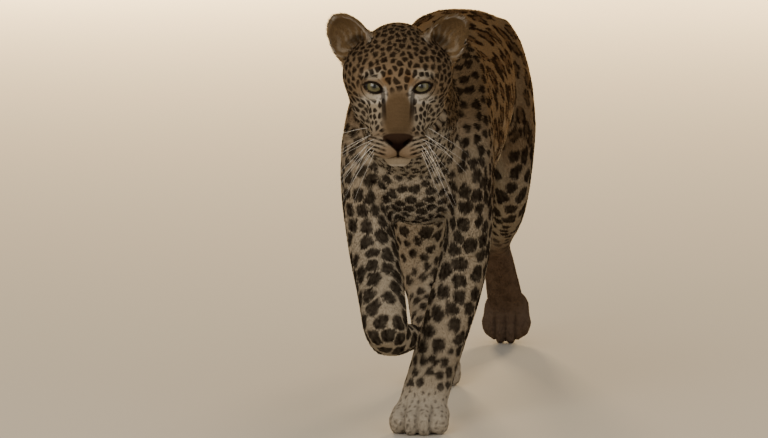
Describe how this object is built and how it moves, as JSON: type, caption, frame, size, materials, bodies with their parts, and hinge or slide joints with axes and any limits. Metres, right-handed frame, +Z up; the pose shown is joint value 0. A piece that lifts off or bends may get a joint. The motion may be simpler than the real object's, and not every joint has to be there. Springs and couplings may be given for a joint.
{
  "type": "leopard",
  "caption": "Life-size walking leopard, one forepaw lifted in mid-step, head low and turned to face ahead, long tail trailing behind.",
  "frame": {"origin": "middle of the animal's bounding box on the floor it stands on", "axes": "+Z up, -Y the way the animal walks, +X its own left side"},
  "size_m": [0.2424, 1.604, 0.6653],
  "materials": {
    "fur": "matte",
    "eye": "gloss"
  },
  "bodies": {
    "root": {"head": "fur", "eye_left": "eye", "eye_right": "eye", "ear_left": "fur", "ear_right": "fur", "neck": "fur", "trunk": "fur", "foreleg_left": "fur", "foreleg_right": "fur", "hindleg_left": "fur", "hindleg_right": "fur", "tail_root": "fur", "tail_middle": "fur", "tail_tip": "fur"}
  },
  "joints": []
}
